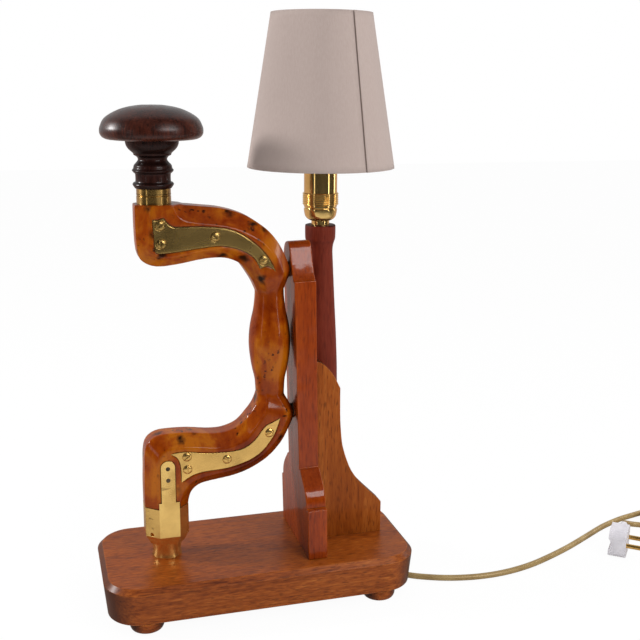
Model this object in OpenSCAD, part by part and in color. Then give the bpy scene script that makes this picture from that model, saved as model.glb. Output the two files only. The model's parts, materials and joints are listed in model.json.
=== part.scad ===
// Table lamp built round an old plated carpenter's brace.
// Millimetres. The table top is height zero and X runs along the board.

/* [Board] */
// Length of the board
board_l = 250; // [244:1:270]
// Depth of the board
board_d = 116; // [112:1:130]
// Thickness of the board
board_t = 30; // [24:1:34]
// Radius of the board's corners
board_corner_r = 28; // [20:1:34]
// Width of the bevel round the top edge
board_bevel = 4; // [2:0.5:6]
// Width of the eased edge round the underside
board_ease = 1; // [0.5:0.5:3]
// How far the board's sides lean in towards the underside
board_draw = 2.5; // [0:0.5:4]
// Diameter of a bun foot
foot_d = 26.5; // [20:0.5:28]
// Height of a bun foot
foot_h = 8.5; // [7.5:0.5:12]

/* [Upright] */
// Thickness of the shaped upright at its foot
upright_t = 15.5; // [12:0.5:17]
// Degrees that the upright's face leans on to the brace
upright_lean = 1.5; // [0:0.25:2.5]
// Half the width of the upright's plinth
plinth_half = 42.5; // [40:0.5:48]
// Thickness of the bracket behind the upright
bracket_t = 12; // [10:0.5:15]
// Diameter of the post at its foot
post_d = 30; // [29:0.5:34]
// Height of the post above the board
post_h = 259; // [250:1:266]

/* [Brace] */
// Distance of the brace's axis from the board's left end
brace_in = 53; // [50:1:60]
// Thickness of the wooden stock
stock_t = 32; // [30:0.5:33]
// Thickness of a brass plate
plate_t = 2; // [1.5:0.25:2.5]
// Diameter of the grip at its middle
grip_d = 33; // [28:0.5:34]
// Diameter of the head
head_d = 75; // [68:1:84]
// Height of the head's cap
head_h = 25; // [22:0.5:30]
// Diameter of the spindle that the head turns on
spindle_d = 8; // [6:0.5:9]

/* [Lamp] */
// Diameter of the lampholder's barrel
holder_d = 26.4; // [26:0.2:28]
// Diameter of the bulb
bulb_d = 35; // [30:1:38]
// Diameter of the shade at the bottom
shade_bottom_d = 117; // [104:1:124]
// Diameter of the shade at the top
shade_top_d = 79; // [72:1:90]
// Height of the shade
shade_h = 117; // [105:1:130]
// Thickness of the shade's card and cloth
shade_wall = 1; // [0.8:0.1:1.4]
// Where the lapped seam is, in degrees round from the front
seam_at = 20; // [0:5:355]

/* [Cord] */
// Diameter of the cord
cord_d = 5; // [4.5:0.25:5]

/* [Hidden] */

$fn = 64;
fit = 0.05;
run = 0.06;
eps = 0.01;
top = foot_h + board_t;
foot_in = 31;

// Where the brace stands and how its arms run, as distance out from its axis and height over the board
brace_x = brace_in - board_l / 2;
face = stock_t / 2;
bevel_deep = 8.5 * stock_t / 32;
grip_u = 85.3;
elbow_hi = [100.05, 228];
elbow_lo = [103.1, 112];
elbow_trim = [20, 60, 28];

// Each rung across an arm: both edge points, the bevel at each edge, half the thickness as a share
upper_rungs = [
    [-17, 282, 17, 282, 11, 7, 1],
    [-17, 264, 18.5, 281.4, 11, 8, 1],
    [-16, 247, 20.5, 281, 11, 10, 1],
    [-12, 239.5, 23, 280.8, 10, 12, 1],
    [-2, 235.6, 27, 280.4, 9, 13, 1],
    [14, 236.8, 34, 279.6, 9, 13, 1],
    [30, 239.6, 44, 278.5, 8.5, 13, 1],
    [42, 240.6, 55, 276, 8.5, 12.5, 1],
    [50, 240, 66, 271.8, 8.5, 12, 1],
    [56.5, 237.8, 76, 265.5, 8.5, 11, 1],
    [61, 235.2, 84, 259, 8, 10, 1],
    [64, 231.5, 90.5, 251, 8, 9, 1],
    [67, 227, 95.5, 242, 7.5, 8, 1],
    [69.5, 223, 99, 233.5, 7.5, 8, 1],
    [71.5, 219.5, 100.6, 227.5, 7.5, 8, 0.97],
    [73, 216, 98.5, 221, 7, 7, 0.84],
    [74.6, 212, 96, 214, 6.5, 6.5, 0.7]];
lower_rungs = [
    [-17, 44.5, 17, 44.5, 10, 8, 1],
    [-17, 50, 17.5, 48, 10, 8, 1],
    [-17, 62, 19, 53, 10, 8, 1],
    [-16.5, 76, 21.5, 56.5, 10.5, 8, 1],
    [-16, 89, 24.5, 58.8, 11, 8.5, 1],
    [-13.5, 97.5, 27.5, 60.2, 12, 8.5, 1],
    [-6, 102.8, 31, 61, 12, 8.5, 1],
    [6, 103.8, 36, 61.8, 12, 8.5, 1],
    [20, 103.2, 44, 62.8, 12, 8.5, 1],
    [33, 101.4, 54, 64.4, 12, 8, 1],
    [44, 101, 64, 67.3, 11, 8, 1],
    [52, 102.7, 73, 71.5, 10.5, 7.5, 1],
    [58, 105.3, 81, 76.5, 10, 7.5, 1],
    [62.5, 109.2, 88, 83, 9, 7.5, 1],
    [66, 113.3, 94, 90.5, 8.5, 7.5, 1],
    [69, 116.8, 98.5, 99, 8, 7.5, 1],
    [71, 119.6, 102, 106.5, 8, 7.5, 1],
    [72.5, 122.5, 103.6, 113, 7.5, 7.5, 0.95],
    [73.6, 126, 100.5, 120, 7, 7, 0.82],
    [74.6, 130, 96, 128, 6.5, 6.5, 0.7]];

// Heights up the head, from the top of the stock, and how far its axis stands off the chuck's
seat_w = upper_rungs[0][1];
ring_w = seat_w + 7.5;
neck_w = ring_w + 3.8;
cap_w = neck_w + 35.2;
head_u = -1.8;
spindle_foot_w = seat_w - 32;

// Edges of the inlaid plates, as distance out and height
upper_plate_edges = [
    [[-5.2, 271.9], [-2, 271.2], [2.8, 272.7]],
    [[2.8, 272.7], [6.3, 268.2], [10.3, 265.9], [16.9, 265.8], [28, 265.6], [40.6, 264.8], [51.1, 263],
        [61.7, 258.4], [73.4, 249.4], [81.2, 240.2], [87.1, 229.4]],
    [[87.1, 229.4], [81, 234], [74.9, 232.4]],
    [[74.9, 232.4], [70.4, 240.5], [60.6, 246.9], [46.1, 250.7], [31.7, 250], [12.7, 247.6], [0.4, 246.6]],
    [[0.4, 246.6], [-3.8, 248.2], [-4.4, 258], [-5.2, 271.9]]];
lower_plate_edges = [
    [[2.8, 89.8], [9.4, 90.6], [17, 90.2], [30, 88.2], [47.5, 87.3], [61, 89.3], [70, 95.6], [75.2, 102.4],
        [79, 106.4], [83.5, 108.4], [90, 111.5]],
    [[90, 111.5], [87.2, 103.5], [83.8, 96.4], [75.6, 86], [64.4, 79], [47.2, 74.4], [28, 73.1], [18.3, 70.4],
        [11, 65.8]],
    [[11, 65.8], [11, 75], [10, 82.5], [7.4, 87.2], [2.8, 89.8]]];
upper_plate_holes = [[0.3, 267.3], [0.6, 253.8], [40.9, 257.8], [77.3, 238.7]];
lower_plate_holes = [[15.6, 86.6], [15.9, 76.2], [47.1, 81.6], [81.3, 100.3]];
rivet_low = 68.6;
rivet_pitch = 9.5;
rivet_w = [rivet_low, rivet_low + rivet_pitch];
rivet_r = 1.6;
strap_u = 0.6;
strap_half = 5.5;
strap_top = 84.5;
strap_root = [16, 10];
strap_root_w = 45;
strap_t = 2.5;

// The upright stands where both elbows of the brace bear on it, and its back leans less than its face
pack_t = 0.8;
pack_r = 6;
lean_rise = tan(upright_lean);
back_lean = 1;
back_rise = tan(back_lean);
upright_x = brace_x + pack_t
    + max(elbow_hi[0] + elbow_hi[1] * lean_rise, elbow_lo[0] + elbow_lo[1] * lean_rise);
upright_back = upright_x + upright_t;
// Half profile of the upright's foot, from the plinth up to the straight edge
foot_curve = [[-4, 41.5], [-4, 43.5], [-5, 49], [-8, 54.5], [-12.5, 59.5], [-17.5, 64], [-21.5, 68]];
waist = 18;
top_curve = [[-15, 221], [-12.5, 225], [-10.5, 229], [-8, 234], [-6.5, 239], [-5, 244], [-3, 247.6],
    [0.5, 249.5], [5, 249.4], [10, 247.5], [13.5, 243.5], [15.2, 238]];
// Outline of the bracket from its far end up to the upright
sweep_edge = [[57.4, 25.5], [56, 28], [46, 38], [37, 47.7], [30.6, 57.3], [26.8, 66.5], [24, 75.5],
    [22.2, 84.4], [20.8, 102], [20.5, 119], [20.5, 129]];
crown_edge = [[20.5, 129], [15, 139.7], [10, 146.6], [5, 151], [0, 153], [-12, 153.4]];

// The lamp's axis stands in the corner behind the bracket
lamp_x = upright_back + post_d / 2 - 4.8;
lamp_y = bracket_t / 2 + post_d / 2 + 0.2;
post_top = top + post_h;
barrel_r = holder_d / 2;
cap_z = post_top + 3.5;
ring_z = cap_z + 12.5;
barrel_z = ring_z + 9.6;
shade_z = barrel_z + 20;
carrier_z = shade_z + 6;
barrel_end = carrier_z + 6;
bulb_z = barrel_z + 18;
shade_top_z = shade_z + shade_h;

// The board moves forward so that the middle of the object's box is at the origin
y_mid = (max(board_d / 2, lamp_y + shade_bottom_d / 2) - board_d / 2) / 2;

// Cord: under the board to a clip, over the table to a coil, and back to the plug
cord_r = cord_d / 2;
bend_r = 10;
clip_end = [board_l / 2 - 18, -10];
clip_pin_y = 6.2;
run_z = 4;
cord_points = [[120, -18.5, 3.3], [131, -25, 2.7], [142, -30.5, 2.7],
    [155, -35.5, 2.7], [169, -39, 2.7], [184, -41, 2.7], [201, -41, 2.7], [219, -38.5, 2.7], [239, -33, 2.7],
    [261, -24, 2.7], [286, -12, 2.7], [313, 3, 2.7], [338, 17, 2.7], [361, 26.5, 2.8], [379, 31, 3.2]];
coil_mid = [415, -2];
coil_out_r = 40;
coil_step = 5.6;
coil_low_z = 3.7;
coil_rise = 5.6;
coil_from = 105;
coil_to = 200;
coil_turns = 7 + (coil_from - coil_to + 360) / 360;
loop_rings = 24;
tail_points = [[373, -3.6, 8.2], [369, 2.2, 7.4], [363, 5, 7.6], [356.4, 4.4, 9.6]];
plug_at = [326, -29];
plug_turn = -40;
plug_size = [15, 27, 25];
relief_l = 20;
entry_z = 12.5;

// One point on a smooth curve through a list of points
function along(p, t) =
    let (i = min(floor(t), len(p) - 2), f = t - i,
         a = p[max(i - 1, 0)], b = p[i], c = p[i + 1], d = p[min(i + 2, len(p) - 1)])
    0.5 * (2 * b + (c - a) * f + (2 * a - 5 * b + 4 * c - d) * f * f + (3 * b - a - 3 * c + d) * f * f * f);

// The whole curve, with the same number of steps between every two points
function smooth(p, n) = [for (k = [0 : (len(p) - 1) * n]) along(p, k / n)];

// A closed outline from smooth edges that meet at corners
function outline(edges, n) = [for (e = edges) for (k = [0 : (len(e) - 1) * n - 1]) along(e, k / n)];

function unit(v) = v / norm(v);

// The eight corners of an arm at one rung
function arm_section(v) =
    let (p = [v[0], v[1]], q = [v[2], v[3]], n = unit(q - p), h = face * v[6], s = h - bevel_deep * v[6],
         a = p + v[4] * n, b = q - v[5] * n)
    [[p[0], -s, p[1]], [a[0], -h, a[1]], [b[0], -h, b[1]], [q[0], -s, q[1]],
     [q[0], s, q[1]], [b[0], h, b[1]], [a[0], h, a[1]], [p[0], s, p[1]]];

// Rings of a round tube along a path, kept from twisting by a fixed side
function tube_ring(path, i, r, sides) =
    let (t = unit(path[min(i + 1, len(path) - 1)] - path[max(i - 1, 0)]),
         s = unit(cross(t, [0, 0, 1])), u = cross(s, t))
    [for (k = [0 : sides - 1]) path[i] + r * (cos(360 * k / sides) * s + sin(360 * k / sides) * u)];

// Triangles between rings of points, with a fan over each end
function skin_faces(rings, sides) = concat(
    [for (i = [0 : rings - 2]) for (k = [0 : sides - 1]) [i * sides + k, i * sides + (k + 1) % sides,
        (i + 1) * sides + k]],
    [for (i = [0 : rings - 2]) for (k = [0 : sides - 1]) [i * sides + (k + 1) % sides,
        (i + 1) * sides + (k + 1) % sides, (i + 1) * sides + k]],
    [for (k = [1 : sides - 2]) [0, k + 1, k]],
    [for (k = [1 : sides - 2]) [(rings - 1) * sides, (rings - 1) * sides + k, (rings - 1) * sides + k + 1]]);

module skin(sections) {
    sides = len(sections[0]);
    polyhedron([for (s = sections) for (p = s) p], skin_faces(len(sections), sides));
}

module tube(path, r, sides) {
    skin([for (i = [0 : len(path) - 1]) tube_ring(path, i, r, sides)]);
}

// Places
module home() { translate([0, -y_mid, 0]) children(); }
module at_brace() { home() translate([brace_x, 0, top]) children(); }
module at_head() { at_brace() translate([head_u, 0, 0]) children(); }
module at_lamp() { home() translate([lamp_x, lamp_y, 0]) children(); }
module lean_on() { home() translate([upright_x, 0, top]) rotate([0, -upright_lean, 0]) children(); }
module lean_back() { home() translate([upright_back, 0, top]) rotate([0, -back_lean, 0]) children(); }
module at_face(p, side) { translate([p[0], side * face, p[1]]) rotate([-90 * side, 0, 0]) children(); }
module both_faces() { for (side = [-1, 1]) children(); }
module at_feet() {
    half = [board_l / 2 - foot_in, board_d / 2 - foot_d / 2 - board_draw];
    for (x = [-1, 1]) for (y = [-1, 1]) home() translate([x * half[0], y * half[1], 0]) children();
}
module ring(r_out, r_in, h) {
    difference() {
        cylinder(h = h, r = r_out);
        translate([0, 0, -1]) cylinder(h = h + 2, r = r_in);
    }
}
module turned(profile, n) { rotate_extrude() polygon(concat([[0, profile[0][1]]], smooth(profile, n),
    [[0, profile[len(profile) - 1][1]]])); }

// A wood screw whose head starts at height zero, with a slot and a top that may be domed
module wood_screw(head_r, shank_r, length, dome = 0) {
    proud = 0.4;
    difference() {
        union() {
            translate([0, 0, -eps]) cylinder(h = proud + eps, r = head_r);
            if (dome > 0) translate([0, 0, proud]) rotate_extrude($fn = 32)
                polygon(concat([[0, -eps], [head_r - 0.2, -eps]],
                    [for (a = [0 : 18 : 90]) [(head_r - 0.2) * cos(a), dome * sin(a)]]));
            translate([0, 0, -head_r * 0.55]) cylinder(h = head_r * 0.55, r1 = shank_r, r2 = head_r);
            translate([0, 0, -length]) cylinder(h = length - head_r * 0.5, r = shank_r);
        }
        translate([-head_r - 1, -0.5, proud + dome - 0.9]) cube([2 * head_r + 2, 1, 2]);
    }
}
module screw_hole(head_r, shank_r, length) {
    sink = head_r * 0.55 + 0.1;
    translate([0, 0, -sink]) cylinder(h = sink, r1 = shank_r, r2 = head_r + fit);
    cylinder(h = 30, r = head_r + fit);
    translate([0, 0, -length - 0.3]) cylinder(h = length, r = shank_r + fit);
}

// Sizes of the screws in use
plate_head_r = 3.5;
plate_shank_r = 1.4;
plate_screw_l = 11;
plate_dome = 1.1;
base_head_r = 4.4;
base_shank_r = 2;
base_screw_at = [[upright_x + upright_t / 2 - 0.3, -28, 50], [upright_x + upright_t / 2 - 0.3, 28, 50],
    [upright_back + 38, 0, 42]];
foot_head_r = 4;
foot_shank_r = 1.7;
elbow_screw_l = 34;
dowel_r = 3;
dowel_w = [30, 88];
peg_r = 5;
tenon_r = 10;

// Board with rounded corners, a bevel round its top edge, and sides that lean in to an eased edge below
module bevel_side(half) {
    side = [[board_draw + board_ease, 0], [board_draw, board_ease], [0, board_t - board_bevel],
        [board_bevel, board_t]];
    back = [for (i = [3 : -1 : 0]) [side[i][0] - half, side[i][1]]];
    polygon(concat([for (p = side) [half - p[0], p[1]]], back));
}
module board_blank() {
    r = board_corner_r;
    for (x = [-1, 1]) for (y = [-1, 1]) translate([x * (board_l / 2 - r), y * (board_d / 2 - r), 0]) {
        cylinder(h = board_ease, r1 = r - board_draw - board_ease, r2 = r - board_draw);
        translate([0, 0, board_ease])
            cylinder(h = board_t - board_bevel - board_ease, r1 = r - board_draw, r2 = r);
        translate([0, 0, board_t - board_bevel]) cylinder(h = board_bevel, r1 = r, r2 = r - board_bevel);
    }
    rotate([90, 0, 0]) linear_extrude(board_d - 2 * r, center = true) bevel_side(board_l / 2);
    rotate([90, 0, 90]) linear_extrude(board_l - 2 * r, center = true) bevel_side(board_d / 2);
}
module board() color("sienna") {
    difference() {
        home() translate([0, 0, foot_h]) board_blank();
        at_brace() translate([0, 0, -18.3]) cylinder(h = 30, r = peg_r + fit);
        at_lamp() {
            translate([0, 0, -1]) cylinder(h = top + 2, r = 5);
            translate([0, 0, top - 14.3]) cylinder(h = 20, r = 9 + fit);
            along_run() translate([-4, -4, foot_h - 1]) cube([22, 8, 12]);
        }
        for (p = base_screw_at) home() translate([p[0], p[1], foot_h + 2]) mirror([0, 0, 1])
            screw_hole(base_head_r, base_shank_r, p[2]);
        at_feet() translate([0, 0, foot_h - 1]) cylinder(h = 15, r = foot_shank_r + fit);
        clip_frame() for (y = [-1, 1]) translate([0, y * clip_pin_y, foot_h - 1])
            cylinder(h = 9, r = 0.9 + fit);
    }
}

// Bun feet, each held by a screw from below
module feet() color("peru") {
    at_feet() difference() {
        rotate_extrude() polygon(concat([[0, foot_h], [0, 0]],
            smooth([[foot_d / 2 - 3.4, 0], [foot_d / 2 - 1.4, 0.9], [foot_d / 2 - 0.3, 2.8],
                [foot_d / 2, 5], [foot_d / 2 - 0.6, foot_h]], 3)));
        translate([0, 0, 2.5]) mirror([0, 0, 1]) screw_hole(foot_head_r, foot_shank_r, 20);
    }
}
module foot_screws() color("goldenrod") {
    at_feet() translate([0, 0, 2.5]) mirror([0, 0, 1]) wood_screw(foot_head_r, foot_shank_r, 18);
}

// Upright with a stepped and curved foot and a swept top, leaning on to the brace
function foot_side(s) = [for (p = smooth(foot_curve, 3)) [s * (plinth_half + p[0]), p[1]]];
module upright_side() {
    front = foot_side(-1);
    back = foot_side(1);
    polygon(concat([[-plinth_half, -3], [-plinth_half, 41.5]], front, [[-waist, 68], [-waist, 221]],
        smooth(top_curve, 3), [[waist - 2, 221], [waist - 1.5, 68]],
        [for (i = [len(back) - 1 : -1 : 0]) back[i]], [[plinth_half, 41.5], [plinth_half, -3]]));
}
module upright_body() { lean_on() rotate([90, 0, 90]) linear_extrude(upright_t + 20) upright_side(); }
module behind_upright() { lean_back() translate([0, -100, -20]) cube([60, 200, 330]); }
module below_board_top() { translate([-400, -400, top - 400]) cube([800, 800, 400]); }
module upright() color("chocolate") {
    difference() {
        upright_body();
        behind_upright();
        below_board_top();
        base_screw_bores();
        dowel_holes();
        elbow_holes();
    }
}

// Bracket that props the upright from behind
module bracket() color("sienna") {
    difference() {
        home() translate([upright_back, 0, top]) rotate([90, 0, 0]) linear_extrude(bracket_t, center = true)
            polygon(concat([[-12, 0], [sweep_edge[0][0], 0]], smooth(sweep_edge, 3), smooth(crown_edge, 3)));
        upright_room();
        dowel_holes();
        elbow_holes();
        base_screw_bores();
    }
}
module upright_room() { lean_back() translate([-60, -100, -20]) cube([60, 200, 330]); }
module dowel_line(r, reach) {
    for (w = dowel_w) home() translate([upright_back - 9 - w * back_rise - reach, 0, top + w])
        rotate([0, 90, 0]) cylinder(h = 22 + 2 * reach, r = r);
}
module dowel_holes() { dowel_line(dowel_r + fit, 0.4); }
module bracket_dowels() color("burlywood") { dowel_line(dowel_r, 0); }

// Screws from below into the upright and the bracket
module base_screw_bores() {
    for (p = base_screw_at) home() translate([p[0], p[1], foot_h])
        cylinder(h = p[2] + 3, r = base_shank_r + fit);
}
module base_screws() color("silver") {
    for (p = base_screw_at) home() translate([p[0], p[1], foot_h + 2]) mirror([0, 0, 1])
        wood_screw(base_head_r, base_shank_r, p[2]);
}

// Screws through the upright into the elbows of the brace, over packing discs
function elbow_face(e) = upright_back - e[1] * back_rise - 3.5;
module at_elbows() {
    for (e = [elbow_hi, elbow_lo]) home() translate([elbow_face(e), 0, top + e[1]])
        rotate([0, 90, 0]) children();
}
module elbow_holes() { at_elbows() screw_hole(base_head_r, base_shank_r, elbow_screw_l); }
module brace_screws() color("silver") { at_elbows() wood_screw(base_head_r, base_shank_r, elbow_screw_l); }
module packing_discs() color("saddlebrown") {
    difference() {
        for (e = [elbow_hi, elbow_lo]) at_brace() translate([e[0], 0, e[1]]) rotate([0, 90, 0])
            ring(pack_r, base_shank_r + fit, 5);
        lean_on() translate([0, -100, -20]) cube([60, 200, 330]);
    }
}

// Turned post, planed flat where it meets the upright, bored for the flex
module post() color("brown") {
    r = post_d / 2;
    h = post_h;
    difference() {
        at_lamp() difference() {
            union() {
                translate([0, 0, top]) turned([[r, 0], [r, 60], [r - 0.2, 129], [r - 1.2, h - 96],
                    [r - 3, h - 62], [r - 4.6, h - 30], [r - 5, h - 21], [r - 4.4, h - 15.5],
                    [r - 3.1, h - 11.5], [r - 2.8, h - 8], [r - 2.8, h - 1.2], [r - 3.4, h]], 4);
                translate([0, 0, top - 14]) cylinder(h = 15, r = 9);
            }
            translate([0, 0, top - 20]) cylinder(h = post_h + 30, r = 5 + fit);
        }
        upright_room();
        elbow_holes();
    }
}

// Wooden stock of the brace: two bevelled arms and a turned grip, let in for its brass
module arm(rungs, turn_over = false) {
    skin([for (v = smooth(rungs, 3)) let (s = arm_section(v))
        turn_over ? [for (k = [7 : -1 : 0]) s[k]] : s]);
}
module grip() {
    r = grip_d / 2;
    translate([grip_u, 0, 0]) turned([[11.2, 122], [11.3, 128], [11.6, 134], [r - 4.4, 141], [r - 2.6, 149],
        [r - 1.2, 157], [r - 0.3, 165], [r, 172], [r - 0.6, 181], [r - 1.9, 189], [r - 3.7, 197], [11.7, 206],
        [11.4, 213], [11.4, 220]], 3);
}
module plate_shape(edges) { polygon(outline(edges, 3)); }
module strap_shape() {
    translate([strap_u + 0.4, strap_root_w]) square(strap_root, center = true);
    translate([strap_u - strap_half, strap_root_w])
        square([2 * strap_half, strap_top - strap_half - strap_root_w]);
    translate([strap_u, strap_top - strap_half]) circle(r = strap_half);
}
// A flat shape stood up on a face of the stock, thickness inwards
module on_face(side, thick) {
    translate([0, side < 0 ? -face + thick : face, 0]) rotate([90, 0, 0]) linear_extrude(thick) children();
}
module plate_room() {
    for (side = [-1, 1]) {
        translate([0, side * 1, 0]) on_face(side, plate_t + 1) plate_shape(upper_plate_edges);
        translate([0, side * 1, 0]) on_face(side, plate_t + 1) plate_shape(lower_plate_edges);
        translate([0, side * 1, 0]) on_face(side, strap_t + 1) strap_shape();
    }
}
module plate_screw_holes(r, length) {
    for (side = [-1, 1]) for (p = concat(upper_plate_holes, lower_plate_holes))
        at_face(p, side) translate([0, 0, -length]) cylinder(h = length + 1, r = r);
}
module stock() color("chocolate") {
    difference() {
        at_brace() difference() {
            union() {
                arm(upper_rungs);
                arm(lower_rungs, true);
                grip();
                translate([head_u, 0, seat_w - 2]) cylinder(h = ring_w - seat_w + 1.8, r = tenon_r);
                translate([0, 0, 28]) cylinder(h = chuck_top - 26, r = 8);
            }
            plate_room();
            plate_screw_holes(plate_shank_r + fit, plate_screw_l + 0.3);
            translate([head_u, 0, spindle_foot_w - 0.2])
                cylinder(h = ring_w - spindle_foot_w, r = spindle_d / 2 + fit);
            rivet_line(rivet_r + fit, 2 * stock_t);
            for (e = [elbow_hi, elbow_lo])
                translate([e[0], -elbow_trim[1] / 2, e[1] - elbow_trim[2] / 2]) cube(elbow_trim);
        }
        elbow_holes();
    }
}

// Brass chuck with straps up both faces, bevelled in to a round nose that stands on the board
chuck_top = lower_rungs[0][1];
chuck_low = 20.6;
function chuck_ring(z, share) =
    let (s = face - bevel_deep, half = [[-17, -s], [-7, -face], [9, -face], [17, -s]],
         back = [for (i = [3 : -1 : 0]) [half[i][0], -half[i][1]]])
    [for (p = concat(half, back)) [share * p[0], share * p[1], z]];
module chuck() color("gold") {
    at_brace() difference() {
        union() {
            skin([for (v = [[chuck_top, 1], [chuck_low, 1], [12.6, 0.76]]) chuck_ring(v[0], v[1])]);
            turned([[11.5, 0], [11.8, 0.8], [11.3, 3.5], [11.3, 7], [11.9, 10], [12.6, 13.2]], 3);
            for (side = [-1, 1]) on_face(side, strap_t) strap_shape();
        }
        translate([0, 0, -1]) cylinder(h = 28, r = peg_r + fit);
        translate([0, 0, 27]) cylinder(h = chuck_top - 27 + eps, r = 8 + fit);
        rivet_line(rivet_r + fit, 2 * stock_t);
        translate([-10.1, -8.2, chuck_low + 2]) rotate([0, 0, -40]) rotate([-90, 0, 180])
            cylinder(h = 12, r = 1.6, $fn = 24);
    }
}
module chuck_peg() color("silver") { at_brace() translate([0, 0, -18]) cylinder(h = 44, r = peg_r); }
module rivet_line(r, length) {
    for (w = rivet_w) translate([strap_u, 0, w]) rotate([90, 0, 0])
        cylinder(h = length, r = r, center = true);
}
module strap_rivets() color("dimgray") { at_brace() rivet_line(rivet_r, stock_t + 0.3); }

// Inlaid brass plates on both faces of each arm
module plate(edges, holes, side) {
    at_brace() difference() {
        on_face(side, plate_t) plate_shape(edges);
        for (p = holes) at_face(p, side) screw_hole(plate_head_r, plate_shank_r, 6);
    }
}
module upper_plate_front() color("goldenrod") { plate(upper_plate_edges, upper_plate_holes, -1); }
module upper_plate_back() color("goldenrod") { plate(upper_plate_edges, upper_plate_holes, 1); }
module lower_plate_front() color("gold") { plate(lower_plate_edges, lower_plate_holes, -1); }
module lower_plate_back() color("gold") { plate(lower_plate_edges, lower_plate_holes, 1); }
module plate_screws(holes) {
    for (i = [0 : len(holes) - 1]) for (side = [-1, 1]) at_brace() at_face(holes[i], side)
        rotate(35 + 50 * i) wood_screw(plate_head_r, plate_shank_r, plate_screw_l, plate_dome);
}
module upper_plate_screws() color("gold") { plate_screws(upper_plate_holes); }
module lower_plate_screws() color("gold") { plate_screws(lower_plate_holes); }

// Fixed ring on the stock and the spindle that the head turns on
collar_profile = [[12.75, seat_w], [12.75, seat_w + 5.6], [12.1, seat_w + 6], [12.75, seat_w + 6.5],
    [12.75, ring_w - 0.3]];
module stock_collar() color("goldenrod") {
    at_head() difference() {
        rotate_extrude() polygon(concat([[0, seat_w]], collar_profile, [[0, ring_w - 0.3]]));
        translate([0, 0, seat_w - 1]) cylinder(h = 30, r = tenon_r + fit);
    }
}
bearing_w = cap_w + 12;
module spindle() color("silver") {
    at_head() {
        translate([0, 0, spindle_foot_w]) cylinder(h = bearing_w + 3 - spindle_foot_w, r = spindle_d / 2);
        translate([0, 0, bearing_w + 0.3]) cylinder(h = 2.7, r = spindle_d / 2 + 3.5);
    }
}

// Head of the brace: cap, turned neck, ferrule and the plug over the spindle's end
module head_cap() color("saddlebrown") {
    r = head_d / 2;
    at_head() difference() {
        translate([0, 0, cap_w]) turned([[r - 18, 0], [r - 7, 0.2], [r - 2.8, 1.3], [r - 0.6, 3.6], [r, 6.6],
            [r - 0.7, 10], [r - 3.4, head_h - 10], [r - 9, head_h - 6], [r - 17, head_h - 2.6],
            [r - 27, head_h - 0.6], [1, head_h]], 4);
        translate([0, 0, cap_w - 1]) cylinder(h = 9, r = tenon_r + fit);
        translate([0, 0, cap_w]) cylinder(h = bearing_w - cap_w + 1, r = spindle_d / 2 + run);
        translate([0, 0, bearing_w]) cylinder(h = head_h, r = spindle_d / 2 + 4);
    }
}
module head_neck() color("maroon") {
    at_head() difference() {
        union() {
            translate([0, 0, neck_w]) turned([[13.3, 0], [14.2, 1.2], [15.1, 2.9], [14.2, 4.3], [13, 5],
                [13, 10.2], [14, 11.4], [15.2, 13], [14.2, 14.6], [13.7, 16.8], [11.4, 19.4], [10.6, 21.2],
                [11.6, 23], [13.6, 24.2], [13.9, 25.2], [14.8, 26.2], [17.4, 28.6], [19.1, 31.6],
                [19.7, cap_w - neck_w]], 3);
            translate([0, 0, cap_w - 1]) cylinder(h = 8.7, r = tenon_r);
            translate([0, 0, ring_w]) cylinder(h = neck_w - ring_w + 1, r = tenon_r);
        }
        translate([0, 0, ring_w - 1]) cylinder(h = 60, r = spindle_d / 2 + run);
    }
}
module head_ferrule() color("gold") {
    at_head() translate([0, 0, ring_w]) ring(12.65, tenon_r + fit, neck_w - ring_w);
}
module head_plug() color("saddlebrown") {
    r = spindle_d / 2 + 4 - fit;
    at_head() difference() {
        translate([0, 0, bearing_w + 3.6]) cylinder(h = cap_w + head_h - 0.4 - bearing_w - 3.6, r = r);
        translate([0, 0, cap_w + head_h - 1.4]) cylinder(h = 3, r1 = 0.6, r2 = 2.4);
    }
}

// Brass lampholder on a threaded nipple in the top of the post
module nipple() color("gold") { at_lamp() translate([0, 0, post_top - 15]) ring(5, 3.2, 24); }
module nipple_nut() color("gold") { at_lamp() translate([0, 0, post_top]) ring(7.2, 5 + fit, 3.4); }
module holder_cap() color("gold") {
    r = barrel_r;
    at_lamp() difference() {
        union() {
            translate([0, 0, cap_z]) turned([[7.4, 0], [8.6, 0.3], [10.6, 1.4], [12.2, 3.4], [r - 0.3, 6],
                [r, 8], [r, 9.6], [r - 0.7, 10], [r - 0.7, 10.6], [r, 11], [r, 12.5]], 3);
            translate([0, 0, ring_z - 1]) cylinder(h = 5, r = r - 0.9);
        }
        translate([0, 0, cap_z - 1]) cylinder(h = 20, r = 5 + fit);
        translate([0, 0, cap_z + 6]) cylinder(h = 20, r = r - 2);
    }
}
module holder_ring() color("gold") {
    r = barrel_r + 1.1;
    ridge = 9.6 / 6;
    at_lamp() difference() {
        translate([0, 0, ring_z]) rotate_extrude() polygon(concat([[0, 0]],
            [for (i = [0 : 5]) each [[r - 0.6, i * ridge], [r, (i + 0.3) * ridge], [r, (i + 0.7) * ridge]]],
            [[r - 0.6, 9.6], [0, 9.6]]));
        translate([0, 0, ring_z - 1]) cylinder(h = 20, r = barrel_r - 0.9 + fit);
    }
}
module holder_barrel() color("gold") {
    at_lamp() difference() {
        union() {
            translate([0, 0, barrel_z]) cylinder(h = barrel_end - barrel_z, r = barrel_r);
            translate([0, 0, ring_z + 4.3]) cylinder(h = 6, r = barrel_r - 0.9);
        }
        translate([0, 0, ring_z]) cylinder(h = 60, r = barrel_r - 2);
    }
}
insulator_z = ring_z - 3;
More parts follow.
